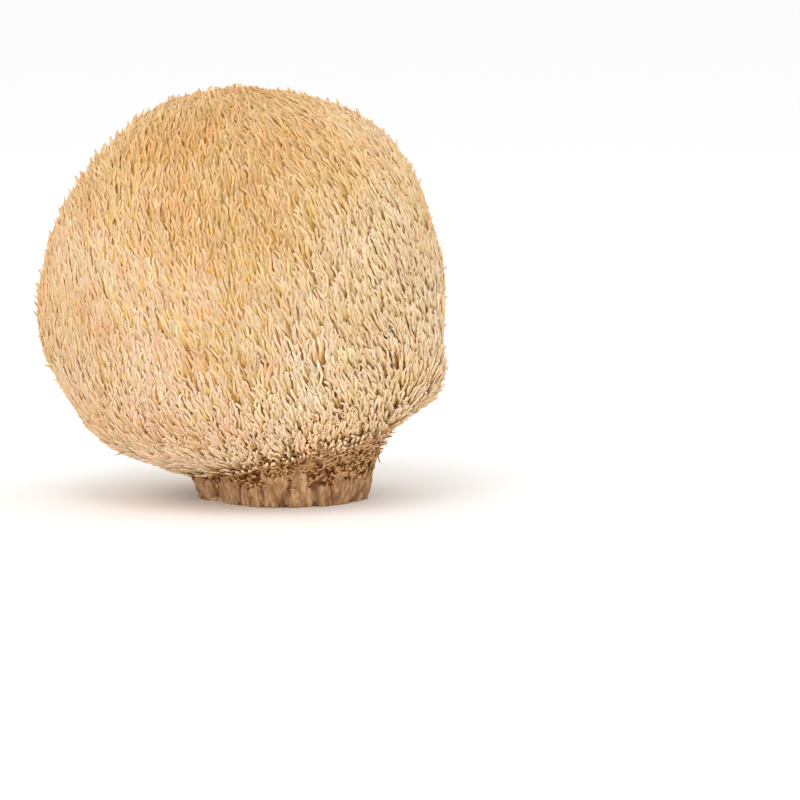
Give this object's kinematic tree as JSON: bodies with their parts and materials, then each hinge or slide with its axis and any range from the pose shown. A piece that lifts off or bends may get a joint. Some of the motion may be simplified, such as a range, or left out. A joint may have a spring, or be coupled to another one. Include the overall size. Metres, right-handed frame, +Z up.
{
  "type": "dried lion's mane mushroom",
  "caption": "Dried round mushroom head covered in short blunt spines that are combed up to a crown, on a short stump cut off flat to stand on.",
  "frame": {"origin": "middle of the flat face where the stump was cut off", "axes": "+Z up, out of the cut face through the head; +X to the right and -Y to the front of the view in which the head leans a little to the left over its stump"},
  "size_m": [0.0752, 0.0713, 0.0735],
  "materials": {
    "dried_flesh": "dry, matt and fibrous, golden cream to tan, browner between the spines and on the stump"
  },
  "bodies": {
    "root": {"fruiting_body": "dried_flesh"}
  },
  "joints": []
}
